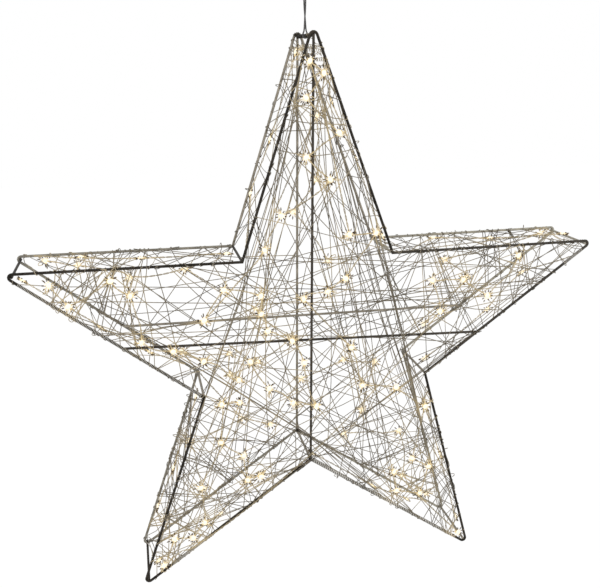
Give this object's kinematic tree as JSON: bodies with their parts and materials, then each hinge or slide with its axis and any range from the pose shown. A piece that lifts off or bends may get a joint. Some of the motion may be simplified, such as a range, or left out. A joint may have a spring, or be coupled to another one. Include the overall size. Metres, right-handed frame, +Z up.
{
  "type": "led christmas star",
  "caption": "Open five-pointed hanging star of bent iron rod with depth struts, wound on every face with thin wire that carries warm white micro lights.",
  "frame": {"origin": "the point inside the top of the hanging loop where a hook bears", "axes": "+Z up, along the hanging cord; -Y out of the front face; +X to the right seen from the front"},
  "size_m": [0.5723, 0.0782, 0.6015],
  "materials": {
    "iron": "satin black",
    "wire": "champagne grey",
    "light": "clear drop",
    "cord": "dark grey thread"
  },
  "bodies": {
    "hanger": {"hanging_loop": "cord", "cord_knot": "cord"},
    "cord": {"hanging_cord": "cord"},
    "star": {"back_crossbar": "iron", "back_lights": "light", "back_point_bottom_left": "iron", "back_point_bottom_right": "iron", "back_point_left": "iron", "back_point_right": "iron", "back_point_top": "iron", "back_upright": "iron", "back_winding_bottom_left": "wire", "back_winding_bottom_right": "wire", "back_winding_left": "wire", "back_winding_middle": "wire", "back_winding_right": "wire", "back_winding_top": "wire", "front_crossbar": "iron", "front_lights": "light", "front_point_bottom_left": "iron", "front_point_bottom_right": "iron", "front_point_left": "iron", "front_point_right": "iron", "front_point_top": "iron", "front_upright": "iron", "front_winding_bottom_left": "wire", "front_winding_bottom_right": "wire", "front_winding_left": "wire", "front_winding_middle": "wire", "front_winding_right": "wire", "front_winding_top": "wire", "side_lights": "light", "side_winding_bottom_left_to_lower_left": "wire", "side_winding_bottom_right_to_bottom": "wire", "side_winding_bottom_to_bottom_left": "wire", "side_winding_left_to_upper_left": "wire", "side_winding_lower_left_to_left": "wire", "side_winding_lower_right_to_bottom_right": "wire", "side_winding_right_to_lower_right": "wire", "side_winding_top_to_upper_right": "wire", "side_winding_upper_left_to_top": "wire", "side_winding_upper_right_to_right": "wire", "strut_bottom": "iron", "strut_bottom_left": "iron", "strut_bottom_right": "iron", "strut_left": "iron", "strut_lower_left": "iron", "strut_lower_right": "iron", "strut_right": "iron", "strut_top": "iron", "strut_upper_left": "iron", "strut_upper_right": "iron"}
  },
  "joints": [
    {"name": "cord_twist", "type": "hinge", "parent": "hanger", "child": "cord", "pos_m": [0, 0, -0.02965], "axis": [0, 0, 1], "range_deg": [-180, 180]},
    {"name": "star_swing", "type": "hinge", "parent": "cord", "child": "star", "pos_m": [0, 0, -0.0593], "axis": [0, 1, 0], "range_deg": [-100, 100]}
  ]
}
